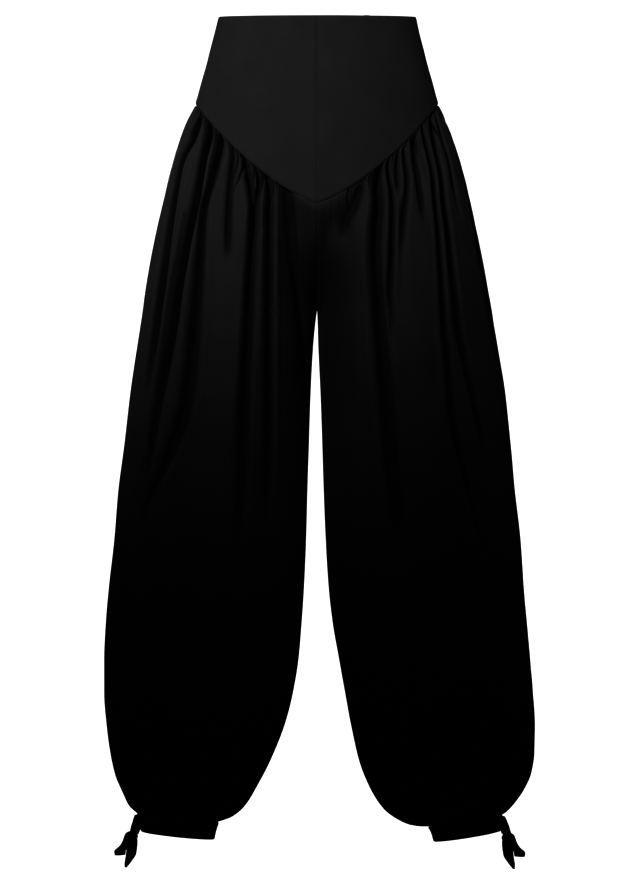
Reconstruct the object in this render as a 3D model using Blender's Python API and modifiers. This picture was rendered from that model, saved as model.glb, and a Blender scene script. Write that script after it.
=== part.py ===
"""High-waisted balloon trousers in black cotton, in the shape they have when worn.

A fitted basque yoke comes to a point at the centre front and the centre back. Four full leg
panels are gathered to it, and at the ankles to narrow bands that close with a knotted tie.

X runs to the wearer's left, -Y to the front and +Z up. The origin is the middle of the waist
opening. Tables and named sizes are in millimetres, "drop" and "level" are distances below the
waist edge, and a "share" runs round a panel from the side seam (0) to the centre seam or
inseam (1). Shapes are worked out on the wearer's left, where x is positive, and the right
side turns x round.
"""

import math
from collections import namedtuple

import bmesh
import bpy
import numpy as np
from mathutils import Matrix, Vector

MM = 0.001
SIDES = {"left": 1, "right": -1}
FACES = {"front": -1, "back": 1}

# Cloth
CLOTH = 1.8
YOKE_CLOTH = 1.8
BAND_CLOTH = 2.2
HALF_SEAM = 0.17
SEAM_LEAN = 0.15
WELD = 0.00001

# Main levels
SIDE_DROP = 112
POINT_DROP = {"front": 236.5, "back": 190}
CROTCH_DROP = 375
SEAM_BOW = 1.3
INSEAM_FAN = 4
EVEN_DROP = 800
BAND_TOP = {"left": 1023, "right": 1019}
BAND_FOOT = {"left": 1042, "right": 1041}
LEAN = {"left": 9, "right": 6}
LEAN_FROM = 900
PUFF = 115
SHOULDER = 9

Hip = namedtuple("Hip", "drop half_width front back")
HIP_SECTIONS = (
    Hip(0, 125, 88, 88),
    Hip(55, 139, 95, 98),
    Hip(112, 154, 101, 112),
    Hip(190, 168, 106, 127),
    Hip(240, 175, 108, 134),
    Hip(380, 180, 110, 138),
)

# Outer and inner outline of each leg, the depth before and behind the side seam, and the
# side seam's own place from front to back. Above the crotch the inner outline lies past the
# centre, where the panel stops, so that it meets its neighbour in a U.
Leg = namedtuple("Leg", "drop outer_left outer_right inner_left inner_right mid front back")
LEG_SECTIONS = (
    Leg(112, 154, 154, -130, -130, 0, 106, 118),
    Leg(131, 163, 165, -125, -125, 0, 110, 126),
    Leg(161, 174, 176, -115, -115, 1, 114, 134),
    Leg(192, 183, 185, -99, -99, 2, 118, 141),
    Leg(237, 195, 196, -67, -67, 4, 124, 147),
    Leg(300, 209, 210, -30, -30, 6, 134, 152),
    Leg(352, 218.5, 219, -6, -6, 7.4, 139, 154),
    Leg(375, 222, 222, 0, 0, 7.8, 140, 154),
    Leg(420, 230, 229, 1.5, 4.8, 8, 141, 153),
    Leg(481, 240, 238, 4.3, 8, 8, 140, 151),
    Leg(542, 246, 245, 6.4, 10, 8, 138, 148),
    Leg(603, 252, 253, 8.3, 12, 8, 135, 145),
    Leg(664, 259, 258, 10.8, 13.6, 8, 132, 142),
    Leg(725, 263, 265, 14.6, 16.3, 9, 129, 139),
    Leg(771, 267, 269, 19.9, 19.4, 9, 127, 136),
    Leg(817, 271, 271, 28, 23.4, 10, 124, 132),
    Leg(862, 274.5, 271, 36, 31, 11, 119, 127),
    Leg(900, 277, 268, 43, 41, 12, 112, 120),
    Leg(940, 276.5, 263, 53, 58, 13, 101, 109),
    Leg(970, 273, 257, 67, 75, 14, 88, 97),
    Leg(995, 263.5, 247, 85, 91, 15, 72, 81),
    Leg(1010, 253, 239.5, 104, 107, 16, 59, 66),
    Leg(1019, 243.5, 230, 122, 124.5, 16, 51, 55),
    Leg(1023, 237, 229, 141, 126, 16, 49, 53),
    Leg(1042, 234, 223.5, 148.5, 131, 16, 44, 48),
)

# Folds that hang from the gathers. The x of each is given at the seam, a third and two thirds
# of the way down and at its foot. Depth is how far it sinks, and a raised crease has a
# negative one.
Fold = namedtuple("Fold", "seam_x third_x later_x foot_x foot_drop depth width")
FOLDS = {
    ("right", "front"): (
        Fold(150, 194, 213, 228, 520, 6, 9),
        Fold(147, 176, 212, 260, 715, -6, 7),
        Fold(138, 162, 184, 206, 510, 11, 9),
        Fold(121, 155, 175, 246, 700, 14, 12),
        Fold(103, 113, 116, 114, 320, 6, 9),
        Fold(92, 89, 97, 118, 740, 13, 11),
        Fold(63, 63, 64, 70, 640, 10, 10),
        Fold(40, 33, 20, 18, 460, 9, 15),
    ),
    ("left", "front"): (
        Fold(152, 189, 216, 236, 480, 6, 8),
        Fold(140, 163, 190, 216, 600, 9, 8),
        Fold(131, 155, 169, 227, 720, 14, 11),
        Fold(116, 122, 127, 133, 280, 7, 8),
        Fold(107, 109, 104, 101, 340, 7, 8),
        Fold(81, 92, 91, 88, 440, 9, 8),
        Fold(70, 71, 88, 100, 720, 15, 14),
        Fold(52, 47, 37, 25, 310, 6, 11),
    ),
    ("right", "back"): (
        Fold(147, 183, 210, 238, 600, 7, 9),
        Fold(134, 158, 176, 198, 690, 12, 11),
        Fold(117, 133, 139, 150, 420, 8, 9),
        Fold(101, 108, 112, 128, 730, 14, 12),
        Fold(80, 84, 80, 78, 460, 8, 9),
        Fold(62, 66, 70, 82, 700, 12, 11),
        Fold(38, 34, 28, 24, 480, 9, 13),
    ),
    ("left", "back"): (
        Fold(149, 186, 214, 240, 560, 7, 9),
        Fold(130, 150, 170, 204, 710, 13, 12),
        Fold(112, 120, 127, 136, 400, 8, 9),
        Fold(94, 99, 106, 120, 740, 14, 11),
        Fold(76, 78, 74, 70, 430, 8, 9),
        Fold(57, 58, 64, 78, 660, 11, 11),
        Fold(35, 30, 25, 24, 500, 9, 14),
    ),
}
FOLD_START = 35
FOLD_FADES_FROM = 0.5
FOLD_SPREAD = 0.9
SHOULDER_RISE = 0.3

# Gathers at the yoke and at the ankle, counted on each of the four leg panels. What makes them
# uneven are two slower swings of their places and one of their height, each by its turns in a
# share of 1 and its size.
YOKE_GATHERS = 17
YOKE_GATHER_DEPTH = 2.6
YOKE_GATHER_LENGTH = 10
FLAT_FROM = {"front": 0.84, "back": 0.90}
ANKLE_GATHERS = 10
ANKLE_GATHER_DEPTH = 2.6
ANKLE_GATHER_LENGTH = 38
Swing = namedtuple("Swing", "turns size")
WIDE_SWING = Swing(3.3, 0.22)
NARROW_SWING = Swing(7.5, 0.13)
HEIGHT_SWING = Swing(4.8, 0.2)
SIDE_SHIFT = {"left": 0.7, "right": 2.9}

# Rows of each leg panel, as shares of the rise above the crotch and of the leg below it
RISE_ROWS = (0, 0.05, 0.13, 0.27, 0.5, 0.75, 0.92, 1)
LEG_ROWS = (0.06, 0.14, 0.25, 0.38, 0.53, 0.68, 0.8, 0.88, 0.94, 0.975, 1)
ROWS_AT_YOKE = 4
ROWS_AT_ANKLE = 3
FINE_COLUMNS = 64
COLUMNS = 32
YOKE_ROW_COLUMNS = (16, 16, 16, 32, 64)
YOKE_ROWS = (0, 0.3, 0.6, 0.85, 1)
BAND_COLUMNS = 20

# Tie at the outer ankle: the knot, its root along the end of the band, and the two tails, by
# their routes out from the leg, forward and down
KNOT_SIZE = (17, 12, 14)
KNOT_PLACE = (6.5, 0, 29)
KNOT_SEGMENTS = 10
KNOT_RINGS = 7
TAIL_CLOTH = 1.6
TAIL_ACROSS = (0.8, -0.6, 0)
Tail = namedtuple("Tail", "out forward down width")
TIE_ROOT = {
    "left": (
        Tail(2.6, 0, 2, 4),
        Tail(3.2, 0, 12, 8),
        Tail(4.5, 0, 24, 11),
    ),
    "right": (
        Tail(2.6, 0, 2, 4),
        Tail(2.2, 0, 12, 8),
        Tail(3.5, 0, 24, 11),
    ),
}
LONG_TAIL = (
    Tail(5, 1, 24, 14),
    Tail(5, 3, 36, 17),
    Tail(6.5, 5, 50, 17),
    Tail(9.5, 6, 59, 12),
    Tail(13, 6, 68, 3),
)
SHORT_TAIL = (
    Tail(8, -1, 27, 14),
    Tail(11.5, -3, 35, 15),
    Tail(16, -5, 42, 16),
    Tail(20.5, -6, 48, 17),
    Tail(20.5, -6, 53, 15),
)

# Concealed zip at the centre back: only the slider, the bridge on it and the pull show. Sizes
# run across the seam, out from the cloth and up.
Size = namedtuple("Size", "across out up")
SLIDER = Size(6, 1.6, 9)
SLIDER_DROP = 10
SLIDER_CLEARANCE = 0.4
SLIDER_ROUNDING = 0.4
BRIDGE = Size(1.6, 2.6, 5.6)
BRIDGE_WALL = 0.8
BRIDGE_ROOT = 0.6
POST_WIDTH = 1.4
PULL = Size(6, 1.1, 22)
PULL_EYE = Size(3.0, 1.1, 3.4)
PULL_BAR = 1.0
PULL_SHOULDER = 0.8
PULL_ARC_STEPS = 10

COLOURS = {
    "black_cotton": ((0.012, 0.012, 0.0125), 0.85, 0.0),
    "black_metal": ((0.02, 0.02, 0.02), 0.4, 0.8),
}


def smooth(amount):
    """A share from 0 to 1 that starts and ends gently."""
    held = np.clip(amount, 0, 1)
    return held * held * (3 - 2 * held)


def between(at, places, values):
    """Values at the places between those given, on a smooth curve that makes no new peaks."""
    x, y = np.asarray(places, float), np.asarray(values, float)
    step = np.diff(x)
    slope = np.diff(y) / step
    product = slope[1:] * slope[:-1]
    total = np.where(slope[1:] + slope[:-1] == 0, 1, slope[1:] + slope[:-1])
    tangent = np.concatenate(([slope[0]], np.where(product > 0, 2 * product / total, 0), [slope[-1]]))
    at = np.clip(at, x[0], x[-1])
    i = np.clip(np.searchsorted(x, at, side="right") - 1, 0, len(x) - 2)
    t = (at - x[i]) / step[i]
    return (
        (1 + 2 * t) * (1 - t) ** 2 * y[i]
        + t * (1 - t) ** 2 * step[i] * tangent[i]
        + t * t * (3 - 2 * t) * y[i + 1]
        + t * t * (t - 1) * step[i] * tangent[i + 1]
    )


def column(rows, name, level):
    """One named column of a table of sections, at any level."""
    return between(level, [row.drop for row in rows], [getattr(row, name) for row in rows])


def seam_level(face, share):
    """How far below the waist the yoke's lower seam lies: highest at the side, lowest at the centre."""
    point = POINT_DROP[face]
    return point - (point - SIDE_DROP) * np.cos(share * math.pi / 2) ** SEAM_BOW


def hip_point(face, share, level):
    """The fitted form under the yoke, a quarter of an oval at each level."""
    turn = share * math.pi / 2
    x = column(HIP_SECTIONS, "half_width", level) * np.cos(turn)
    y = FACES[face] * column(HIP_SECTIONS, face, level) * np.sin(turn)
    return np.stack([x, y, -level * np.ones_like(x)], axis=-1)


def leg_oval(side, face, level):
    """The oval of a leg at a level: its middle, half width, depth and the place of the side seam."""
    outer, inner = (column(LEG_SECTIONS, edge + side, level) for edge in ("outer_", "inner_"))
    depth, mid = column(LEG_SECTIONS, face, level), column(LEG_SECTIONS, "mid", level)
    return (outer + inner) / 2, (outer - inner) / 2, depth, mid


def inner_turn(side, face, level):
    """Where the oval of a leg ends: at the centre seam, a U that closes at the crotch, then the inseam."""
    middle, half_width, _, _ = leg_oval(side, face, level)
    return np.arccos(np.clip((HALF_SEAM - middle) / half_width, -1, 1))


def turn_of(side, face, share, level):
    """The turn round a leg's oval at a share: the cloth for the inner thigh fans out at the crotch."""
    top = inner_turn(side, face, POINT_DROP[face])
    even = top + (math.pi - top) * smooth((level - POINT_DROP[face]) / (EVEN_DROP - POINT_DROP[face]))
    return even * share + (inner_turn(side, face, level) - even) * share**INSEAM_FAN


def leg_point(side, face, share, level):
    """The leg's smooth surface, which leaves the fitted form at the yoke seam and fills out below it."""
    middle, half_width, depth, mid = leg_oval(side, face, level)
    turn = turn_of(side, face, share, level)
    lean = math.tan(math.radians(LEAN[side])) * smooth((level - LEAN_FROM) / (BAND_TOP[side] - LEAN_FROM))
    x = middle + half_width * np.cos(turn)
    y = mid + FACES[face] * depth * np.sin(turn)
    z = -level + lean * half_width * np.cos(turn)
    hip = hip_point(face, share, level)
    below = np.maximum(level - seam_level(face, share), 0)
    sideways = 1 - np.exp(-below / SHOULDER)
    outward = np.sin(math.pi / 2 * np.clip(below / PUFF, 0, 1))
    return np.stack(
        [hip[..., 0] + (x - hip[..., 0]) * sideways, hip[..., 1] + (y - hip[..., 1]) * outward, z],
        axis=-1,
    )


def normals(surface, face, share, level):
    """Unit vectors out of a surface, from its slopes round and down it."""
    round_step, down_step = 0.012, 4
    right, left = np.minimum(share + round_step, 1), np.maximum(share - round_step, 0)
    across = surface(right, level) - surface(left, level)
    down = surface(share, level + down_step) - surface(share, level - down_step)
    out = -FACES[face] * np.cross(across, down)
    return out / np.linalg.norm(out, axis=-1, keepdims=True)


def fold_relief(side, face, share, level, fold):
    """How far one fold moves the cloth: a soft trough between two raised shoulders."""
    seam_turn = math.acos(fold.seam_x / float(column(HIP_SECTIONS, "half_width", SIDE_DROP)))
    head = float(seam_level(face, seam_turn / (math.pi / 2)))
    x = between(level, np.linspace(head, fold.foot_drop, 4), [fold.seam_x, *fold[1:4]])
    middle, half_width, depth, _ = leg_oval(side, face, level)
    turn = turn_of(side, face, share, level)
    radius = np.hypot(half_width * np.sin(turn), depth * np.cos(turn))
    along = np.clip((level - head) / (fold.foot_drop - head), 0, 1)
    width = fold.width * (1 + FOLD_SPREAD * along)
    aside = (turn - np.arccos(np.clip((x - middle) / half_width, -1, 1))) * radius / width
    shape = SHOULDER_RISE * np.exp(-(((np.abs(aside) - 1.8) / 0.8) ** 2)) - np.exp(-(aside**2))
    strength = smooth((level - seam_level(face, share)) / FOLD_START)
    strength = strength * (1 - smooth((along - FOLD_FADES_FROM) / (1 - FOLD_FADES_FROM)))
    return fold.depth * shape * strength


def gather_wave(count, share, shift):
    """Uneven waves round a panel, between -1 and 1."""
    turn = 2 * math.pi * share
    place = count * share
    place = place + WIDE_SWING.size * np.sin(WIDE_SWING.turns * turn + shift)
    place = place + NARROW_SWING.size * np.sin(NARROW_SWING.turns * turn + 2 * shift)
    height = 1 - HEIGHT_SWING.size * (1 - np.sin(HEIGHT_SWING.turns * turn + 3 * shift))
    return np.cos(2 * math.pi * place) * height


def relief(side, face, share, level):
    """All that lifts the cloth off its smooth surface: folds, and the gathers at both ends."""
    shift = SIDE_SHIFT[side] + FACES[face]
    total = sum(fold_relief(side, face, share, level, fold) for fold in FOLDS[side, face])
    below = np.maximum(level - seam_level(face, share), 0) / YOKE_GATHER_LENGTH
    height = 0.25 + below * np.exp(1 - below)
    height = height * np.exp(-((below / 3.4) ** 4)) * (1 - smooth((share - FLAT_FROM[face]) / 0.1))
    total = total + YOKE_GATHER_DEPTH * height * gather_wave(YOKE_GATHERS, share, shift)
    above = (BAND_TOP[side] - level) / ANKLE_GATHER_LENGTH
    height = np.exp(-(above**2)) * (0.2 + 0.8 * smooth(3 * above))
    total = total + ANKLE_GATHER_DEPTH * height * (0.6 + gather_wave(ANKLE_GATHERS, share, shift + 1))
    edge = smooth(share / 0.05) * smooth((1 - share) / 0.07)
    return total * edge


def kept_apart(points, face, mid):
    """Points held to their own side of the centre seam and, with a face, of the side seam."""
    points[..., 0] = np.maximum(points[..., 0], HALF_SEAM)
    if face:
        sign = FACES[face]
        points[..., 1] = sign * np.maximum(sign * points[..., 1], HALF_SEAM + sign * mid)
    return points


def leg_rows(side, face):
    """The outer and inner rows of points of one leg panel, from the yoke seam down."""
    rise = CROTCH_DROP - POINT_DROP[face]
    length = BAND_TOP[side] - POINT_DROP[face]
    shares_down = [rise * row / length for row in RISE_ROWS]
    shares_down += [(rise + (length - rise) * row) / length for row in LEG_ROWS]
    outer, inner = [], []
    for i, down in enumerate(shares_down):
        gathered = i < ROWS_AT_YOKE or i >= len(shares_down) - ROWS_AT_ANKLE
        share = np.linspace(0, 1, (FINE_COLUMNS if gathered else COLUMNS) + 1)
        top, foot = seam_level(face, share) + HALF_SEAM, BAND_TOP[side] - HALF_SEAM
        level = top + (foot - top) * down
        mid = column(LEG_SECTIONS, "mid", level)
        out = normals(lambda s, l: leg_point(side, face, s, l), face, share, level)
        if i == 0:
            out[:, 2] = np.maximum(out[:, 2], SEAM_LEAN)
        lifted = leg_point(side, face, share, level) + out * relief(side, face, share, level)[:, None]
        outer.append(kept_apart(lifted.copy(), face, mid))
        inner.append(kept_apart(lifted - CLOTH * out, face, mid))
    return outer, inner


def yoke_rows(face):
    """The outer and inner rows of one yoke quarter, from the waist edge down."""
    outer, inner = [], []
    for down, columns in zip(YOKE_ROWS, YOKE_ROW_COLUMNS):
        share = np.linspace(0, 1, columns + 1)
        level = (seam_level(face, share) - HALF_SEAM) * down
        out = normals(lambda s, l: hip_point(face, s, l), face, share, level)
        if down == 0:
            out[:, 2] = 0
        points = hip_point(face, share, level)
        outer.append(kept_apart(points.copy(), face, 0))
        inner.append(kept_apart(points - YOKE_CLOTH * out, face, 0))
    return outer, inner


def band_rows(side):
    """The outer and inner rows of an ankle band: a strip round the leg that opens at its outer side."""
    outer, inner = [], []
    top, foot = BAND_TOP[side] + HALF_SEAM, BAND_FOOT[side]
    share = np.linspace(0, 1, BAND_COLUMNS + 1)
    for level in np.linspace(top, foot, 3):
        levels = np.full_like(share, level)
        mid = float(column(LEG_SECTIONS, "mid", level))
        halves = []
        for face in FACES:
            points = leg_point(side, face, share, levels)
            out = normals(lambda s, l, f=face: leg_point(side, f, s, l), face, share, levels)
            out[:, 2] = 0
            out /= np.linalg.norm(out, axis=1, keepdims=True)
            halves.append((points, points - BAND_CLOTH * out))
        front, back = halves
        for rows, i in ((outer, 0), (inner, 1)):
            opening_front = kept_apart(front[i][:1].copy(), "front", mid)
            opening_back = kept_apart(back[i][:1].copy(), "back", mid)
            rows.append(np.concatenate([opening_front, front[i][1:], back[i][-2:0:-1], opening_back]))
    return outer, inner


def laced(upper, lower):
    """Triangles between two rows of numbered points: one row may have twice the columns of the other."""
    flip = len(lower) > len(upper)
    many, few = (lower, upper) if flip else (upper, lower)
    per = (len(many) - 1) // (len(few) - 1)
    triangles = []
    for i in range(len(few) - 1):
        run = many[i * per : (i + 1) * per + 1]
        triangles += [(run[0], few[i], run[1]), (few[i], few[i + 1], run[1])]
        if per == 2:
            triangles.append((few[i + 1], run[2], run[1]))
    return [triangle[::-1] for triangle in triangles] if flip else triangles


def cloth_wall(name, side, rows, material):
    """One panel of cloth: an outer and an inner sheet of points, joined round their edges."""
    outer, inner = rows
    ends = np.cumsum([0] + [len(row) for row in outer])
    numbers = [list(range(a, b)) for a, b in zip(ends, ends[1:])]
    count = int(ends[-1])
    sheet = [t for upper, lower in zip(numbers, numbers[1:]) for t in laced(upper, lower)]
    triangles = sheet + [tuple(n + count for n in t[::-1]) for t in sheet]
    edges = (numbers[0], numbers[-1][::-1], [row[0] for row in numbers][::-1], [row[-1] for row in numbers])
    for edge in edges:
        triangles += laced([n + count for n in edge], edge)
    points = np.concatenate([*outer, *inner]) * np.array([SIDES[side], 1, 1]) * MM
    data = bpy.data.meshes.new(name)
    data.from_pydata(points.tolist(), [], triangles)
    mesh = bmesh.new()
    mesh.from_mesh(data)
    bmesh.ops.recalc_face_normals(mesh, faces=mesh.faces)
    mesh.to_mesh(data)
    mesh.free()
    data.shade_smooth()
    data.set_sharp_from_angle(angle=math.radians(60))
    return add_part(name, data, material)


def add_part(name, data, material):
    part = bpy.data.objects.new(name, data)
    bpy.data.collections["balloon_trousers"].objects.link(part)
    if data.materials:
        data.materials.clear()
    data.materials.append(material)
    return part


def make_material(name):
    colour, roughness, metallic = COLOURS[name]
    material = bpy.data.materials.new(name)
    material.use_nodes = True
    shader = material.node_tree.nodes["Principled BSDF"]
    shader.inputs["Base Color"].default_value = (*colour, 1)
    shader.inputs["Roughness"].default_value = roughness
    shader.inputs["Metallic"].default_value = metallic
    return material


def box(size, place, bevel=0):
    """A box at its place, with rounded edges where a bevel is given."""
    bpy.ops.mesh.primitive_cube_add(size=MM)
    made = bpy.context.object
    made.data.transform(Matrix.Translation(Vector(place) * MM) @ Matrix.Diagonal(size).to_4x4())
    if bevel:
        rounding = made.modifiers.new("rounded", "BEVEL")
        rounding.width = bevel * MM
        rounding.segments = 2
    return made


def ribbon(stations, foot, thickness):
    """A flat strip of cloth through its stations, as wide as each says."""
    across = Vector(TAIL_ACROSS).normalized()
    mesh = bmesh.new()
    rows = []
    for station in stations:
        middle = Vector(foot) + Vector((station.out, -station.forward, -station.down))
        rows.append([mesh.verts.new((middle + across * station.width * k) * MM) for k in (-0.5, 0, 0.5)])
    for upper, lower in zip(rows, rows[1:]):
        for triangle in laced(upper, lower):
            mesh.faces.new(triangle)
    data = bpy.data.meshes.new("ribbon")
    mesh.to_mesh(data)
    mesh.free()
    made = bpy.data.objects.new("ribbon", data)
    bpy.context.scene.collection.objects.link(made)
    wall = made.modifiers.new("cloth", "SOLIDIFY")
    wall.thickness = thickness * MM
    wall.offset = 0
    return made


def applied_mesh(made):
    """The object's mesh in its place, with its modifiers in effect."""
    bpy.context.view_layer.update()
    graph = bpy.context.evaluated_depsgraph_get()
    data = bpy.data.meshes.new_from_object(made.evaluated_get(graph))
    data.transform(made.matrix_world)
    return data


def union(name, pieces, material):
    """Several closed shapes as one solid."""
    whole = bpy.data.objects.new("whole", applied_mesh(pieces[0]))
    bpy.context.scene.collection.objects.link(whole)
    for piece in pieces[1:]:
        join = whole.modifiers.new("join", "BOOLEAN")
        join.operation = "UNION"
        join.object = piece
    data = applied_mesh(whole)
    for used in (whole, *pieces):
        bpy.data.objects.remove(used)
    data.name = name
    return add_part(name, data, material)


def ankle_tie(side, material):
    """The knotted tie at the outer ankle, whose root comes out at the top of the band."""
    level = BAND_TOP[side]
    edge = leg_point(side, "front", np.array([0.0]), np.array([float(level)]))[0]
    bpy.ops.mesh.primitive_uv_sphere_add(segments=KNOT_SEGMENTS, ring_count=KNOT_RINGS)
    knot = bpy.context.object
    place = Vector(edge) + Vector((KNOT_PLACE[0], KNOT_PLACE[1], -KNOT_PLACE[2]))
    knot.data.transform(
        Matrix.Translation(place * MM) @ Matrix.Diagonal([s * MM / 2 for s in KNOT_SIZE]).to_4x4()
    )
    tails = [ribbon(stations, edge, TAIL_CLOTH) for stations in (TIE_ROOT[side], LONG_TAIL, SHORT_TAIL)]
    tie = union("ankle_tie_" + side, [knot, *tails], material)
    if SIDES[side] < 0:
        tie.data.transform(Matrix.Diagonal((-1, 1, 1, 1)))
        tie.data.flip_normals()
    return tie


def zip_frame():
    """Where the zip's pivot lies on the centre back, and how far the cloth there leans out."""
    upper = hip_point("back", np.array([1.0]), np.array([0.0]))[0]
    lower = hip_point("back", np.array([1.0]), np.array([SLIDER_DROP * 2.0]))[0]
    lean = math.atan2(lower[1] - upper[1], upper[2] - lower[2])
    middle = Vector((0, (upper[1] + lower[1]) / 2, -SLIDER_DROP))
    return Matrix.Translation(middle * MM) @ Matrix.Rotation(lean, 4, "X")


def zip_parts(material):
    """The slider with its bridge, and the pull that hangs by a bar from the bridge."""
    face = SLIDER_CLEARANCE + SLIDER.out
    top = face + BRIDGE.out
    body = box(SLIDER, (0, face - SLIDER.out / 2, 0), SLIDER_ROUNDING)
    lid = box((BRIDGE.across, BRIDGE_WALL, BRIDGE.up), (0, top - BRIDGE_WALL / 2, 0))
    foot, head = face - BRIDGE_ROOT, top - BRIDGE_WALL / 2
    post = Size(POST_WIDTH, head - foot, BRIDGE_WALL)
    height = BRIDGE.up / 2 - BRIDGE_WALL
    posts = [box(post, (0, (head + foot) / 2, sign * height)) for sign in (-1, 1)]
    slider = union("zip_slider", [body, lid, *posts], material)
    slider.data.transform(zip_frame())
    pivot = face + (BRIDGE.out - BRIDGE_WALL) / 2
    pull = pull_tab(material)
    pull.matrix_world = zip_frame() @ Matrix.Translation((0, pivot * MM, 0))


def pull_tab(material):
    """A flat tab with a round end, and an eye that leaves a bar at its top. Its origin is on the bar."""
    shoulder = PULL_EYE.across / 2 + PULL_SHOULDER
    radius = PULL.across / 2
    turns = [math.pi * i / PULL_ARC_STEPS for i in range(PULL_ARC_STEPS + 1)]
    round_end = [(radius * math.cos(t), radius - PULL.up - radius * math.sin(t)) for t in turns]
    outline = [(-shoulder, PULL_BAR / 2), (shoulder, PULL_BAR / 2), *round_end]
    side, eye_top = PULL_EYE.across / 2, -PULL_BAR / 2
    eye_foot = eye_top - PULL_EYE.up
    eye = [(-side, eye_top), (-side, eye_foot), (side, eye_foot), (side, eye_top)]
    curve = bpy.data.curves.new("pull", "CURVE")
    curve.dimensions = "2D"
    curve.fill_mode = "BOTH"
    curve.extrude = PULL.out / 2 * MM
    for points in (outline, eye):
        spline = curve.splines.new("POLY")
        spline.points.add(len(points) - 1)
        spline.use_cyclic_u = True
        for point, (x, z) in zip(spline.points, points):
            point.co = (x * MM, z * MM, 0, 1)
    flat = bpy.data.objects.new("pull", curve)
    bpy.context.scene.collection.objects.link(flat)
    data = applied_mesh(flat)
    bpy.data.objects.remove(flat)
    mesh = bmesh.new()
    mesh.from_mesh(data)
    bmesh.ops.remove_doubles(mesh, verts=mesh.verts, dist=WELD)
    mesh.to_mesh(data)
    mesh.free()
    data.transform(Matrix.Rotation(math.pi / 2, 4, "X"))
    return add_part("zip_pull", data, material)


def clear_scene():
    for old in list(bpy.data.objects):
        bpy.data.objects.remove(old)
    bpy.context.scene.collection.children.link(bpy.data.collections.new("balloon_trousers"))


def main():
    clear_scene()
    cotton, metal = make_material("black_cotton"), make_material("black_metal")
    for side in SIDES:
        for face in FACES:
            cloth_wall(f"yoke_{face}_{side}", side, yoke_rows(face), cotton)
            cloth_wall(f"leg_{face}_{side}", side, leg_rows(side, face), cotton)
        cloth_wall("ankle_band_" + side, side, band_rows(side), cotton)
        ankle_tie(side, cotton)
    zip_parts(metal)


main()
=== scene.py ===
"""The looks of the balloon trousers: gathered black cotton, its seams and ties, and a pale studio.

Each panel is a thin shell on the form of its CAD solid, with the folds and gathers of soft cloth.
Tables and named sizes are in millimetres. "Drop" and "level" are distances below the waist edge,
and a "share" runs round a panel from the side seam (0) to the centre seam or inseam (1). Shapes
are worked out on the wearer's left, where x is positive, and the right side turns x round.
"""

import math
from collections import namedtuple

import bpy
import numpy as np
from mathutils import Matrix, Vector


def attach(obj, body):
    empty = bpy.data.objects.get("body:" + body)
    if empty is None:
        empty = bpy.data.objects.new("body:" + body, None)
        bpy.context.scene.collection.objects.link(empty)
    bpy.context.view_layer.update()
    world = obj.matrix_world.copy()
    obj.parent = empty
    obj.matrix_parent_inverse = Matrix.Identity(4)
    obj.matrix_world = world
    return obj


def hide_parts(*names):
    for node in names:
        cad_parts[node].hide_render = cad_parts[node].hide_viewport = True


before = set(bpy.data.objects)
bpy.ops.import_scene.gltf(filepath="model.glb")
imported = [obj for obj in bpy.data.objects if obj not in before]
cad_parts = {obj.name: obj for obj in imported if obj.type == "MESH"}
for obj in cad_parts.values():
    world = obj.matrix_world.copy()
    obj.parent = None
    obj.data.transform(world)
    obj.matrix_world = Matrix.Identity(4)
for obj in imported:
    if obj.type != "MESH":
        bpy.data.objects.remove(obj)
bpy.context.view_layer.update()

MM = 0.001
SIDES = {"left": 1, "right": -1}
FACES = {"front": -1, "back": 1}

# Camera and studio, in metres
CAMERA_DISTANCE = 12.0
CAMERA_HEIGHT = -0.31
AIM = (0.0038, 0, -0.5410)
FRAME_HEIGHT = 886 * 0.00127
SENSOR = 36
FLOOR_HEIGHT = -1.13

# Main levels
SIDE_DROP = 112
POINT_DROP = {"front": 236.5, "back": 190}
CROTCH_DROP = 375
SEAM_BOW = 1.3
INSEAM_FAN = 4
EVEN_DROP = 800
BAND_TOP = {"left": 1023, "right": 1019}
BAND_FOOT = {"left": 1042, "right": 1041}
LEAN = {"left": 9, "right": 6}
LEAN_FROM = 900
PUFF = 115
SHOULDER = 9
HALF_SEAM = 0.02

Hip = namedtuple("Hip", "drop half_width front back")
HIP_SECTIONS = (
    Hip(0, 125, 88, 88),
    Hip(55, 139, 95, 98),
    Hip(112, 154, 101, 112),
    Hip(190, 168, 106, 127),
    Hip(240, 175, 108, 134),
    Hip(380, 180, 110, 138),
)

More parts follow.
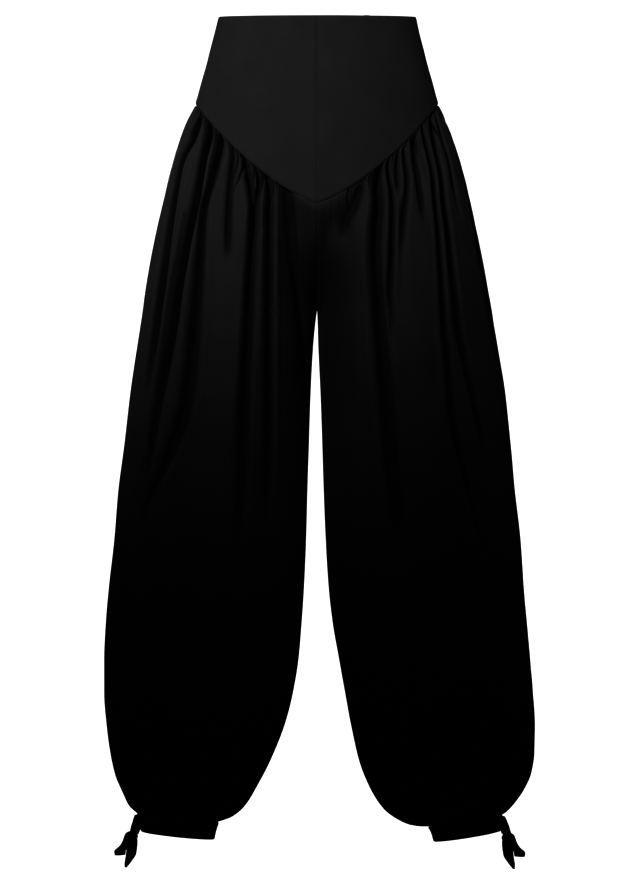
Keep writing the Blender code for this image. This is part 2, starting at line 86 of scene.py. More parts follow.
Leg = namedtuple("Leg", "drop outer_left outer_right inner_left inner_right mid front back")
LEG_SECTIONS = (
    Leg(112, 154, 154, -130, -130, 0, 106, 118),
    Leg(131, 163, 165, -125, -125, 0, 110, 126),
    Leg(161, 174, 176, -115, -115, 1, 114, 134),
    Leg(192, 183, 185, -99, -99, 2, 118, 141),
    Leg(237, 195, 196, -67, -67, 4, 124, 147),
    Leg(300, 209, 210, -30, -30, 6, 134, 152),
    Leg(352, 218.5, 219, -6, -6, 7.4, 139, 154),
    Leg(375, 222, 222, 0, 0, 7.8, 140, 154),
    Leg(420, 230, 229, 1.5, 4.8, 8, 141, 153),
    Leg(481, 240, 238, 4.3, 8, 8, 140, 151),
    Leg(542, 246, 245, 6.4, 10, 8, 138, 148),
    Leg(603, 252, 253, 8.3, 12, 8, 135, 145),
    Leg(664, 259, 258, 10.8, 13.6, 8, 132, 142),
    Leg(725, 263, 265, 14.6, 16.3, 9, 129, 139),
    Leg(771, 267, 269, 19.9, 19.4, 9, 127, 136),
    Leg(817, 271, 271, 28, 23.4, 10, 124, 132),
    Leg(862, 274.5, 271, 36, 31, 11, 119, 127),
    Leg(900, 277, 268, 43, 41, 12, 112, 120),
    Leg(940, 276.5, 263, 53, 58, 13, 101, 109),
    Leg(970, 273, 257, 67, 75, 14, 88, 97),
    Leg(995, 263.5, 247, 85, 91, 15, 72, 81),
    Leg(1010, 253, 239.5, 104, 107, 16, 59, 66),
    Leg(1019, 243.5, 230, 122, 124.5, 16, 51, 55),
    Leg(1023, 237, 229, 141, 126, 16, 49, 53),
    Leg(1042, 234, 223.5, 148.5, 131, 16, 44, 48),
)

# Main folds: each runs through its (drop, x) places. It sinks by its depth, in a gap between two
# tubes, and the gap's sharpness is the share of the depth that has steep sides. A ridge stands up
# instead, by a negative depth. The places are those of the dark wall that turns from the light, and
# the fold's bottom is LIT_WALL further to the wearer's left.
Fold = namedtuple("Fold", "depth width sharpness path")
FOLDS = {
    ("right", "front"): (
        Fold(10, 2.6, 0.5, ((119, 150), (141, 158), (158, 168))),
        Fold(
            20,
            6,
            0.5,
            (
                (124, 152), (153, 161), (186, 177), (226, 185), (271, 192), (335, 201), (520, 226),
            ),
        ),
        Fold(
            28,
            4.4,
            0.6,
            (
                (126, 137), (146, 139), (175, 146), (215, 153), (253, 161), (298, 170), (344, 179),
                (392, 186), (493, 206), (640, 232),
            ),
        ),
        Fold(
            -7,
            4,
            0.5,
            (
                (240, 170), (300, 180), (359, 191), (423, 200), (495, 212), (550, 221), (607, 236),
                (654, 248), (740, 262),
            ),
        ),
        Fold(
            25,
            4.6,
            0.5,
            (
                (146, 121), (171, 127), (204, 136), (244, 147), (272, 150), (307, 152), (359, 156),
                (438, 163), (495, 171), (556, 193), (613, 218), (700, 243),
            ),
        ),
        Fold(12, 2.8, 0.5, ((160, 103), (190, 110.5), (226, 114), (271, 116), (330, 117))),
        Fold(
            22,
            3.6,
            0.6,
            (
                (172, 92), (201, 89.7), (226, 86), (250, 84), (298, 86), (335, 88), (389, 90),
                (486, 95), (582, 99), (720, 108),
            ),
        ),
        Fold(14, 2.4, 0.7, ((186, 74), (222, 78), (248, 82), (300, 84))),
        Fold(21, 3.6, 0.6, ((190, 61), (210, 63), (389, 63.5), (550, 64), (690, 72))),
        Fold(13, 8, 0.4, ((206, 42), (253, 38), (298, 32.5), (344, 25), (400, 21), (520, 20))),
    ),
    ("left", "front"): (
        Fold(
            8,
            3,
            0.5,
            (
                (119, 152), (139, 162), (168, 172), (208, 183), (253, 192), (299, 200), (344, 209),
                (389, 216), (500, 235),
            ),
        ),
        Fold(6, 2.6, 0.5, ((124, 145), (146, 152), (177, 162), (208, 168), (237, 174), (270, 181))),
        Fold(
            14,
            3.6,
            0.4,
            (
                (129, 138), (146, 142), (172, 147), (201, 153), (235, 156), (266, 161), (308, 165),
                (353, 170), (389, 174), (518, 201), (640, 222),
            ),
        ),
        Fold(
            17,
            2.6,
            0.7,
            (
                (139, 125), (154, 131), (172, 136), (201, 142), (233, 145), (271, 149), (317, 152),
                (389, 156), (438, 161), (502, 166), (582, 184), (720, 214),
            ),
        ),
        Fold(5, 2, 0.5, ((152, 116), (172, 124), (182, 131))),
        Fold(10, 2.8, 0.4, ((152, 116), (186, 120), (208, 124), (237, 128), (275, 132))),
        Fold(
            9,
            2.4,
            0.4,
            (
                (164, 102), (190, 108), (210, 110), (226, 109), (253, 105), (281, 102.7),
                (330, 101),
            ),
        ),
        Fold(7, 2.2, 0.5, ((170, 94), (190, 96), (212, 97), (240, 98))),
        Fold(
            13,
            2.4,
            0.6,
            (
                (178, 80), (201, 85.5), (226, 90), (253, 91), (299, 90), (353, 87), (389, 90),
                (450, 92),
            ),
        ),
        Fold(
            24,
            5,
            0.6,
            (
                (186, 69), (212, 71), (237, 73), (262, 71), (299, 69), (335, 71), (389, 74),
                (486, 82), (600, 92), (720, 104),
            ),
        ),
        Fold(9, 7, 0.3, ((208, 52), (237, 43), (259, 33), (300, 21))),
        Fold(-4, 9, 0, ((250, 44), (359, 44.5), (486, 51), (550, 46), (660, 61))),
    ),
    ("right", "back"): (
        Fold(14, 4, 0.6, ((118, 148), (150, 164), (200, 181), (270, 194), (380, 214), (560, 240))),
        Fold(
            18,
            3.6,
            0.7,
            (
                (124, 134), (150, 141), (200, 153), (270, 164), (380, 180), (520, 200), (660, 224),
            ),
        ),
        Fold(10, 2.4, 0.6, ((130, 124), (160, 130), (200, 136), (250, 139))),
        Fold(16, 3.4, 0.65, ((134, 115), (170, 121), (240, 130), (330, 136), (430, 150), (520, 158))),
        Fold(21, 4.2, 0.7, ((141, 101), (180, 105), (250, 110), (360, 112), (520, 126), (730, 140))),
        Fold(11, 2.4, 0.6, ((150, 88), (180, 92), (220, 93), (280, 92))),
        Fold(16, 3, 0.65, ((155, 78), (200, 82), (280, 84), (360, 80), (470, 79))),
        Fold(20, 4, 0.7, ((163, 61), (220, 64), (320, 66), (460, 72), (600, 78), (720, 88))),
        Fold(9, 2.2, 0.6, ((172, 47), (200, 47), (240, 44), (290, 42))),
        Fold(14, 8, 0.4, ((180, 36), (240, 34), (330, 28), (480, 24))),
    ),
    ("left", "back"): (
        Fold(12, 4, 0.6, ((118, 149), (150, 163), (200, 180), (280, 197), (380, 216), (540, 238))),
        Fold(
            20,
            4,
            0.7,
            (
                (126, 130), (160, 138), (220, 149), (300, 160), (400, 171), (540, 190), (700, 218),
            ),
        ),
        Fold(10, 2.4, 0.6, ((131, 121), (160, 125), (200, 128), (260, 133))),
        Fold(15, 3, 0.65, ((136, 111), (180, 116), (250, 122), (330, 128), (410, 137))),
        Fold(21, 4, 0.7, ((144, 95), (190, 98), (260, 101), (380, 106), (540, 116), (730, 130))),
        Fold(10, 2.4, 0.6, ((151, 85), (190, 86), (230, 84), (300, 83))),
        Fold(15, 3, 0.65, ((157, 75), (210, 78), (290, 77), (370, 73), (450, 71))),
        Fold(19, 3.8, 0.7, ((166, 56), (220, 58), (320, 59), (450, 66), (580, 72), (680, 82))),
        Fold(8, 2.2, 0.6, ((176, 42), (210, 41), (250, 38), (300, 37))),
        Fold(14, 8, 0.4, ((181, 33), (240, 31), (330, 25), (500, 24))),
    ),
}
FOLD_SPREAD = 0.8
LIT_WALL = 4
FOLD_START = 16
FOLD_FADES_FROM = 0.55
Ripple = namedtuple("Ripple", "height start rise lean wide tall")
LEG_RIPPLES = (
    Ripple(2.2, 200, 260, 0, 38, 260),
    Ripple(0.7, 0, 60, 0.1, 15, 90),
    Ripple(0.25, 0, 20, -0.15, 6, 24),
)
SEEDS = {("left", "front"): 11, ("left", "back"): 12, ("right", "front"): 13, ("right", "back"): 14}
Gather = namedtuple("Gather", "up_to length depth width")
GATHERS = (
    Gather(0.50, (9, 18), (3.2, 4.8), (2.2, 3.0)),
    Gather(0.82, (18, 38), (4.0, 6.0), (2.6, 3.6)),
    Gather(1.00, (45, 95), (5.0, 8.0), (3.2, 4.6)),
)
ANKLE_RUN = 150
ZIP_LENGTH = 170

# The calm stretch beside the centre seam: where it starts, over what share it sets in, and how much
# of the gathers it takes away
FLAT_FROM = {"front": 0.80, "back": 0.88}
FLAT_OVER = 0.08
FLAT_TAKES = 0.85

# The puff of the cloth just under the yoke, and the hollow under the yoke's point
SWELL = 1.6
SWELL_AT = 6
SWELL_CALMED = 0.7
HOLLOW = 9
HOLLOW_RISE = 40
HOLLOW_ENDS = 330
HOLLOW_FADE = 80

# Waves of the yoke, and the pressed line along each edge of a panel: a leg's at the yoke, the band,
# the side and the middle, and a yoke's at the leg, the waist, the side and the middle
Wave = namedtuple("Wave", "height lean wide tall")
YOKE_WAVES = (Wave(0.55, 0.4, 46, 60), Wave(0.3, -0.7, 20, 55))
Seam = namedtuple("Seam", "depth width")
LEG_SEAMS = (Seam(1.0, 1.3), Seam(1.2, 1.6), Seam(0.7, 1.4), Seam(0.8, 1.4))
YOKE_SEAMS = (Seam(1.1, 1.1), Seam(0.45, 0.8), Seam(0.55, 1.2), Seam(0.6, 1.0))

# The hem turned in at the waist: how far down the inside each row lies, as a share, and how far in
HEM_ROWS = (0.1, 0.05, 0.012, 0.002)
HEM_DEPTHS = (1.7, 1.7, 1.5, 0.9)

# Tie at the outer ankle: its root along the end of the band, the knot, and each tail, by their
# routes out from the leg, forward and down
KNOT_SIZE = (17, 12, 14)
KNOT_PLACE = (6.5, 0, 29)
Tail = namedtuple("Tail", "out forward down width")
TIE_ROOT = {
    "left": (
        Tail(-1.5, 0, 1, 7),
        Tail(-0.5, 0, 8, 12),
        Tail(1.5, 0, 16, 16),
        Tail(4.5, 0, 24, 17),
    ),
    "right": (
        Tail(-1.5, 0, 1, 7),
        Tail(-1.2, 0, 9, 12),
        Tail(0.5, 0, 18, 16),
        Tail(3.5, 0, 26, 17),
    ),
}
LONG_TAIL = (
    Tail(5, 1, 24, 14),
    Tail(5, 3, 36, 17),
    Tail(6.5, 5, 50, 17),
    Tail(9.5, 6, 59, 12),
    Tail(13, 6, 68, 3),
)
SHORT_TAIL = (
    Tail(8, -1, 27, 14),
    Tail(11.5, -3, 35, 15),
    Tail(16, -5, 42, 16),
    Tail(20.5, -6, 48, 17),
    Tail(20.5, -6, 53, 15),
)

# The record for the cut of a piece before it was sewn, in metres, with an area where it isn't a rectangle; no
# cuts are listed here
Cut = namedtuple("Cut", "width length area held")

# Cloth as it shows. A leg's first row is tucked up behind the yoke by HEAD_LAP and its last row down
# inside the band by FOOT_LAP, so that no light comes through, and the creases shrink there.
CLOTH = 0.5
BAND_CLOTH = 1.4
TIE_CLOTH = 1.4
PANEL_COLUMNS = 372
PANEL_ROWS = 92
YOKE_COLUMNS = 150
YOKE_ROWS = 70
EDGE_COLUMNS = (0.0, 0.0, 0.0011, 0.0024, 0.004, 0.006, 0.0085, 0.0115)
TURNED_IN = 2.5
LAP = 0.4
HEAD_LAP = 6
FOOT_LAP = 6
HEAD_CREASE = 0.2
FOOT_CREASE = 0.25
FOOT_CREASE_RUN = 9

# How much folds move the cloth to the side, forward or back, and up or down
RELIEF_AIM = (0.3, 1, 0.6)

# How deep folds and creases lie before painted shade darkens their cloth, and over what depth it does
Darkening = namedtuple("Darkening", "start over")
FOLD_PAINTED_SHADE = Darkening(0.4, 6.5)
CREASE_PAINTED_SHADE = Darkening(0.8, 2.6)

# The painted shade between the legs: its half width, the distance under the yoke over which it sets
# in, its strength at first and how much more it gets, and the levels where it deepens and fades
CENTRE_SHADE = 42
SHADE_SETS_IN = 14
SHADE_FIRST = 0.6
SHADE_MORE = 0.38
SHADE_DEEPENS_FROM, SHADE_DEEPENS_OVER = 240, 100
SHADE_FADES_FROM, SHADE_FADES_OVER = 430, 200

# Looks: the cotton's darkest and lightest dye, how strongly painted shade darkens it, and the tone
# of pressed and loose cloth, where the loose cloth's lower tone is painted shade on the legs and ties
DARK_COTTON = (0.0088, 0.0088, 0.0092)
LIGHT_COTTON = (0.0150, 0.0150, 0.0155)
PAINTED_SHADE_STRENGTH = 0.93
PRESSED_TONE = 1.0
# The loose cloth's lower tone paints shade: the same cotton made darker on the legs and ties
LOOSE_SHADED_TONE = 0.88

# Lights: places in metres, angles in degrees and powers in watts
Light = namedtuple("Light", "name place aim angle power radius")
LIGHTS = (
    Light("key", (-0.8, -2.5, 1.0), (-0.16, 0, 0.13), 32, 415, 0.1),
    Light("fill", (0.2, -3.2, -0.1), (-0.06, 0, -0.46), 16, 75, 0.2),
    Light("back_key", (-0.1, 2.6, 1.0), (-0.05, 0, 0.05), 38, 400, 0.2),
    Light("side_left", (2.6, 0.8, 0.9), (0, 0, 0.05), 38, 60, 0.3),
    Light("side_right", (-2.6, 0.8, 0.9), (0, 0, 0.05), 38, 60, 0.3),
)
WORLD_GLOW = 0.02


def smooth(amount):
    """A share from 0 to 1 that starts and ends gently."""
    held = np.clip(amount, 0, 1)
    return held * held * (3 - 2 * held)


def between(at, places, values):
    """Values at the places between those given, on a smooth curve that makes no new peaks."""
    x, y = np.asarray(places, float), np.asarray(values, float)
    step = np.diff(x)
    slope = np.diff(y) / step
    product = slope[1:] * slope[:-1]
    total = np.where(slope[1:] + slope[:-1] == 0, 1, slope[1:] + slope[:-1])
    tangent = np.concatenate(([slope[0]], np.where(product > 0, 2 * product / total, 0), [slope[-1]]))
    at = np.clip(at, x[0], x[-1])
    i = np.clip(np.searchsorted(x, at, side="right") - 1, 0, len(x) - 2)
    t = (at - x[i]) / step[i]
    return (
        (1 + 2 * t) * (1 - t) ** 2 * y[i]
        + t * (1 - t) ** 2 * step[i] * tangent[i]
        + t * t * (3 - 2 * t) * y[i + 1]
        + t * t * (t - 1) * step[i] * tangent[i + 1]
    )


def column(rows, name, level):
    """One named column of a table of sections, at any level."""
    return between(level, [row.drop for row in rows], [getattr(row, name) for row in rows])


def seam_level(face, share):
    """How far below the waist the yoke's lower seam lies."""
    point = POINT_DROP[face]
    return point - (point - SIDE_DROP) * np.cos(share * math.pi / 2) ** SEAM_BOW


def hip_point(face, share, level):
    """The fitted form under the yoke, a quarter of an oval at each level."""
    turn = share * math.pi / 2
    x = column(HIP_SECTIONS, "half_width", level) * np.cos(turn)
    y = FACES[face] * column(HIP_SECTIONS, face, level) * np.sin(turn)
    return np.stack([x, y, -level * np.ones_like(x)], axis=-1)


def leg_oval(side, face, level):
    """The oval of a leg at a level: its middle, half width, depth and the place of the side seam."""
    outer, inner = (column(LEG_SECTIONS, edge + side, level) for edge in ("outer_", "inner_"))
    depth, mid = column(LEG_SECTIONS, face, level), column(LEG_SECTIONS, "mid", level)
    return (outer + inner) / 2, (outer - inner) / 2, depth, mid


def inner_turn(side, face, level):
    """Where the oval of a leg ends: at the centre seam, a U that closes at the crotch, then the inseam."""
    middle, half_width, _, _ = leg_oval(side, face, level)
    return np.arccos(np.clip((HALF_SEAM - middle) / half_width, -1, 1))


def turn_of(side, face, share, level):
    """The turn round a leg's oval at a share: the cloth for the inner thigh fans out at the crotch."""
    top = inner_turn(side, face, POINT_DROP[face])
    even = top + (math.pi - top) * smooth((level - POINT_DROP[face]) / (EVEN_DROP - POINT_DROP[face]))
    return even * share + (inner_turn(side, face, level) - even) * share**INSEAM_FAN


def leg_point(side, face, share, level):
    """The leg's smooth surface, which leaves the fitted form at the yoke seam and fills out below it."""
    middle, half_width, depth, mid = leg_oval(side, face, level)
    turn = turn_of(side, face, share, level)
    lean = math.tan(math.radians(LEAN[side])) * smooth((level - LEAN_FROM) / (BAND_TOP[side] - LEAN_FROM))
    x = middle + half_width * np.cos(turn)
    y = mid + FACES[face] * depth * np.sin(turn)
    z = -level + lean * half_width * np.cos(turn)
    hip = hip_point(face, share, level)
    below = np.maximum(level - seam_level(face, share), 0)
    sideways = 1 - np.exp(-below / SHOULDER)
    outward = np.sin(math.pi / 2 * np.clip(below / PUFF, 0, 1))
    return np.stack(
        [hip[..., 0] + (x - hip[..., 0]) * sideways, hip[..., 1] + (y - hip[..., 1]) * outward, z],
        axis=-1,
    )


def normals(surface, face, share, level):
    """Unit vectors out of a surface, from its slopes round and down it, and its stretch round it."""
    round_step, down_step = 0.012, 4
    right, left = np.minimum(share + round_step, 1), np.maximum(share - round_step, 0)
    across = surface(right, level) - surface(left, level)
    down = surface(share, level + down_step) - surface(share, level - down_step)
    out = -FACES[face] * np.cross(across, down)
    stretch = np.linalg.norm(across, axis=-1) / (right - left)
    return out / np.linalg.norm(out, axis=-1, keepdims=True), stretch


def trough(aside, sharpness):
    """A fold's section: rolled tubes either side of a gap, whose sides are steep for a share of its depth."""
    gap = 1 / (1 + aside**4)
    valley = 1 - np.sin(math.pi / 2 * np.clip(np.sqrt((aside / 3.6) ** 2 + 0.012), 0, 1))
    tube = 0.14 * np.exp(-(((np.abs(aside) - 3.0) / 1.5) ** 2))
    return tube - sharpness * gap - (1 - sharpness) * valley


def fold_relief(side, face, share, level, fold):
    """How far one main fold moves the cloth."""
    drops, places = zip(*fold.path)
    x = between(level, drops, places) + SIDES[side] * LIT_WALL
    middle, half_width, depth, _ = leg_oval(side, face, level)
    turn = turn_of(side, face, share, level)
    radius = np.hypot(half_width * np.sin(turn), depth * np.cos(turn))
    along = np.clip((level - drops[0]) / (drops[-1] - drops[0]), 0, 1)
    width = fold.width * (0.75 + FOLD_SPREAD * along)
    aside = (turn - np.arccos(np.clip((x - middle) / half_width, -1, 1))) * radius / width
    strength = smooth((level - drops[0] + 4) / FOLD_START)
    strength = strength * (1 - smooth((along - FOLD_FADES_FROM) / (1 - FOLD_FADES_FROM)))
    return fold.depth * trough(aside, fold.sharpness) * strength


def seam_run(face, share):
    """How far along the yoke seam each share lies, from the side seam."""
    points = hip_point(face, share, seam_level(face, share))
    steps = np.linalg.norm(np.diff(points, axis=0), axis=1)
    return np.concatenate([[0], np.cumsum(steps)])


def crease_relief(along, away, creases):
    """Short creases that run away from a seam, each with a sharp bottom between two round puffs."""
    total = np.zeros(np.broadcast(along, away).shape)
    for place, slant, length, depth, width in creases:
        aside = np.sqrt(((along - place - slant * away) / (width * (1 + 0.4 * away / length))) ** 2 + 0.003)
        cusp = 1 - np.sin(math.pi / 2 * np.minimum(aside, 1))
        total -= depth * cusp * (1 - smooth(away / length))
    return total


def yoke_creases(side, face, run):
    """The small uneven gathers under the yoke seam: place, slant, length, depth and width of each."""
    chance = np.random.default_rng(SEEDS[side, face])
    creases, place = [], 3.0
    while place < run - 4:
        kind = chance.random()
        sort = next(sort for sort in GATHERS if kind < sort.up_to)
        length, depth, width = (chance.uniform(*span) for span in sort[1:])
        flat = 1 - FLAT_TAKES * smooth((place / run - FLAT_FROM[face]) / FLAT_OVER)
        creases.append((place, chance.uniform(-0.2, 0.2), length, depth * flat, width))
        place += chance.uniform(3.8, 6.6)
    return creases


def ankle_creases(side, face):
    """The gathers above the ankle band, in the same order."""
    chance = np.random.default_rng(SEEDS[side, face] + 40)
    creases, place = [], 5.0
    while place < ANKLE_RUN - 4:
        length = chance.choice([chance.uniform(16, 34), chance.uniform(40, 100)])
        depth, width = chance.uniform(3, 5.5), chance.uniform(3.6, 6)
        creases.append((place, chance.uniform(-0.1, 0.1), length, depth, width))
        place += chance.uniform(6.5, 11)
    return creases


def ripple(u, v, size_u, size_v, seed):
    """Smooth chance waves of about the given sizes, between -1 and 1."""
    chance = np.random.default_rng(seed)
    i, j = u / size_u, v / size_v
    i, j = i - i.min(), j - j.min()
    table = chance.uniform(-1, 1, (int(i.max()) + 2, int(j.max()) + 2))
    a, b = np.floor(i).astype(int), np.floor(j).astype(int)
    s, t = smooth(i - a), smooth(j - b)
    upper = table[a, b] * (1 - s) + table[a + 1, b] * s
    lower = table[a, b + 1] * (1 - s) + table[a + 1, b + 1] * s
    return upper * (1 - t) + lower * t


def leg_levels(side, face, share):
    """The rows of a leg panel: close together at the yoke seam and at the ankle band."""
    top, foot = seam_level(face, share) + HALF_SEAM, BAND_TOP[side] - HALF_SEAM
    upper = np.concatenate(
        ([-HEAD_LAP, 0, 0.5, 1.1, 1.9, 2.9], np.arange(4, 44, 1.3), np.arange(45, 152, 2.7))
    )
    lower = np.concatenate(
        (np.arange(112, 40, -4.2), np.arange(38, 3, -2.2), [2.8, 1.7, 0.8, 0, -FOOT_LAP])
    )
    rows = [top + a for a in upper]
    first, last = top + upper[-1], foot - lower[0]
    rows += [first + (last - first) * m for m in np.linspace(0, 1, PANEL_ROWS)[1:-1]]
    rows += [np.full_like(share, foot - b) for b in lower]
    return np.array(rows)


def turned_in(shape, first_row=True):
    """How far the outermost points of a panel are turned in along its seams."""
    inward = np.zeros(shape)
    inward[:, [0, -1]] = TURNED_IN
    inward[-1] = TURNED_IN
    if first_row:
        inward[0] = TURNED_IN
    return inward


def lap_edges(points, sign, at_centre):
    """Laps the turned-in edge of a panel over its neighbour's, so that no light comes through a seam."""
    points[:, 0, 1] -= sign * LAP
    points[at_centre, -1, 0] -= LAP
    points[~at_centre, -1, 1] -= sign * LAP


def pressed_lines(relief, distances, seams):
    """Presses a line into a relief along each edge of a panel."""
    for distance, seam in zip(distances, seams):
        relief = relief - seam.depth * np.exp(-((distance / seam.width) ** 2))
    return relief


def painted_shade_in(relief, darkening):
    """How much painted shade darkens the cloth where it lies deep in a relief."""
    return smooth((-relief - darkening.start) / darkening.over)


def centre_shade(x, below, level):
    """The painted shade between the legs, which deepens under the yoke's point and fades down the inseam."""
    strength = SHADE_FIRST + SHADE_MORE * smooth((level - SHADE_DEEPENS_FROM) / SHADE_DEEPENS_OVER)
    fading = 1 - smooth((level - SHADE_FADES_FROM) / SHADE_FADES_OVER)
    return np.exp(-((x / CENTRE_SHADE) ** 2)) * smooth(below / SHADE_SETS_IN) * strength * fading


def leg_grid(side, face):
    """The points of one leg panel, with its folds, gathers and seams."""
    edge = np.array(EDGE_COLUMNS)
    share = np.concatenate([edge, np.linspace(0.015, 0.985, PANEL_COLUMNS), 1 - edge[::-1]])
    level = leg_levels(side, face, share)
    share = np.broadcast_to(share, level.shape)
    base = leg_point(side, face, share, level)
    out, stretch = normals(lambda s, l: leg_point(side, face, s, l), face, share, level)
    below = np.maximum(level - seam_level(face, share), 0)
    above = np.maximum(BAND_TOP[side] - level, 0)
    folds = sum(fold_relief(side, face, share, level, fold) for fold in FOLDS[side, face])
    run = seam_run(face, share[0])
    creases = crease_relief(run, below, yoke_creases(side, face, run[-1]))
    creases[0] *= HEAD_CREASE
    gathers = crease_relief(share * ANKLE_RUN, above, ankle_creases(side, face))
    creases = creases + gathers * (FOOT_CREASE + (1 - FOOT_CREASE) * smooth(above / FOOT_CREASE_RUN))
    calm = smooth((share - FLAT_FROM[face]) / FLAT_OVER)
    hollow = calm * smooth(below / HOLLOW_RISE) * (1 - smooth((level - HOLLOW_ENDS) / HOLLOW_FADE))
    swell = below / SWELL_AT
    around = share * 250
    seed = SEEDS[side, face]
    soft = SWELL * swell * np.exp(1 - swell) * (1 - SWELL_CALMED * calm) - HOLLOW * hollow
    for height, start, rise, lean, wide, tall in LEG_RIPPLES:
        wave = ripple(around + lean * level, level, wide, tall, seed + int(wide))
        soft = soft + height * smooth((below - start) / rise) * smooth(above / 50) * wave
    kept = smooth(share / 0.04) * smooth((1 - share) / 0.05)
    edges = (below, above, share * stretch, (1 - share) * stretch)
    seams = pressed_lines(-turned_in(level.shape), edges, LEG_SEAMS)
    aim = out * np.array(RELIEF_AIM)
    aim = aim / np.linalg.norm(aim, axis=-1, keepdims=True)
    shift = aim * ((folds + creases + soft) * kept)[..., None] + out * seams[..., None]
    at_centre = np.exp(-(((1 - share) * stretch / 3) ** 2)) * (level < CROTCH_DROP)
    shift[..., 0] *= 1 - at_centre
    points = base + shift
    # Painted shade: the colour is darkened deep in folds and creases and between the legs, where shade falls
    painted_shade = np.maximum(painted_shade_in(folds, FOLD_PAINTED_SHADE), painted_shade_in(creases, CREASE_PAINTED_SHADE)) * kept
    painted_shade = np.maximum(painted_shade, centre_shade(base[..., 0], below, level))
    mid = column(LEG_SECTIONS, "mid", level)
    points[..., 0] = np.maximum(points[..., 0], HALF_SEAM)
    sign = FACES[face]
    points[..., 1] = sign * np.maximum(sign * points[..., 1], HALF_SEAM + sign * mid)
    lap_edges(points, sign, level[:, -1] < CROTCH_DROP)
    return points, painted_shade


def yoke_grid(side, face):
    """The points of one quarter of the yoke."""
    edge = np.array(EDGE_COLUMNS)
    share = np.concatenate([edge, np.linspace(0.015, 0.985, YOKE_COLUMNS), 1 - edge[::-1]])
    end = np.array([0, 0.0025, 0.005, 0.009, 0.014, 0.021, 0.03])
    down = np.concatenate([HEM_ROWS, end, np.linspace(0.04, 0.96, YOKE_ROWS), 1 - end[::-1], [1]])
    level = down[:, None] * (seam_level(face, share) - HALF_SEAM)
    share = np.broadcast_to(share, level.shape)
    out, stretch = normals(lambda s, l: hip_point(face, s, l), face, share, level)
    above = seam_level(face, share) - level
    seed = SEEDS[side, face] + 20
    around = share * 210
    relief = sum(
        wave.height * ripple(around + wave.lean * level, level, wave.wide, wave.tall, seed + count)
        for count, wave in enumerate(YOKE_WAVES)
    )
    relief = relief + 0.5 * np.exp(-(((above - 5) / 4) ** 2))
    relief = relief + 0.25 * np.exp(-(((level - 5) / 4) ** 2))
    relief = relief * smooth(share / 0.04) * smooth((1 - share) / 0.04)
    edges = (above, level, share * stretch, (1 - share) * stretch)
    relief = pressed_lines(relief, edges, YOKE_SEAMS)
    if face == "back":
        zipped = 1 - smooth((level - ZIP_LENGTH) / 8)
        relief = relief + 0.55 * zipped * np.exp(-((((1 - share) * stretch - 3.2) / 1.8) ** 2))
    relief = relief - turned_in(relief.shape, False)
    relief[: len(HEM_ROWS)] = -np.array(HEM_DEPTHS)[:, None]
    points = hip_point(face, share, level) + out * relief[..., None]
    points[..., 0] = np.maximum(points[..., 0], HALF_SEAM)
    sign = FACES[face]
    points[..., 1] = sign * np.maximum(sign * points[..., 1], HALF_SEAM)
    lap_edges(points, sign, np.full(len(points), True))
    points[-1, :, 2] -= LAP
    return points, np.zeros(level.shape)


def band_grid(side):
    """The points of an ankle band: a strip round the leg that opens at its outer side."""
    rows = []
    top, foot = BAND_TOP[side] + HALF_SEAM, BAND_FOOT[side]
    steps = np.concatenate(([0, 0.02, 0.05, 0.1], np.linspace(0.16, 0.84, 9), [0.9, 0.95, 0.98, 1]))
    share = np.linspace(0, 1, 90)
    for step in steps:
        level = np.full_like(share, top + (foot - top) * step)
        relief = 0.35 * np.exp(-(((step - 0.12) / 0.1) ** 2)) + 0.35 * np.exp(-(((step - 0.88) / 0.1) ** 2))
        relief = relief - 0.9 * np.exp(-((step / 0.03) ** 2)) - 0.6 * np.exp(-(((1 - step) / 0.03) ** 2))
        halves = []
        for face in FACES:
            points = leg_point(side, face, share, level)
            out, _ = normals(lambda s, l, f=face: leg_point(side, f, s, l), face, share, level)
            out[:, 2] = 0
            out /= np.linalg.norm(out, axis=1, keepdims=True)
            wave = relief + 0.4 * np.sin(share * 23 + step * 2 + SEEDS[side, face]) * np.sin(share * math.pi)
            halves.append(points + out * np.asarray(wave)[:, None])
        front, back = halves
        rows.append(np.concatenate([front, back[-2::-1]]))
    return np.array(rows), np.zeros((len(steps), 2 * len(share) - 1))


def ribbon_grid(side, stations, seed):
    """A doubled strip of cloth through its stations, a little hollow across and twisted along."""
    edge = leg_point(side, "front", np.array([0.0]), np.array([float(BAND_TOP[side])]))[0]
    at = np.linspace(0, len(stations) - 1, 36)
    out, forward, down, width = (between(at, range(len(stations)), values) for values in zip(*stations))
    across = np.linspace(-0.5, 0.5, 15)
    way, face = np.array([0.8, -0.6, 0]), np.array([0.6, 0.8, 0])
    middle = edge + np.stack([out, -forward, -down], axis=-1)
    hollow = 0.16 * width[:, None] * (1 - 4 * across**2) * np.sin(at * 1.7 + seed)[:, None]
    wave = 0.5 * np.sin(across * 9 + seed) * smooth(at / 2)[:, None]
    points = middle[:, None] + way * (across * width[:, None])[..., None] + face * (hollow + wave)[..., None]
    # Painted shade darkens the strip down its middle, along its hollow
    return points, 0.3 * (1 - smooth(np.abs(across) * 5)) * np.ones((36, 1))


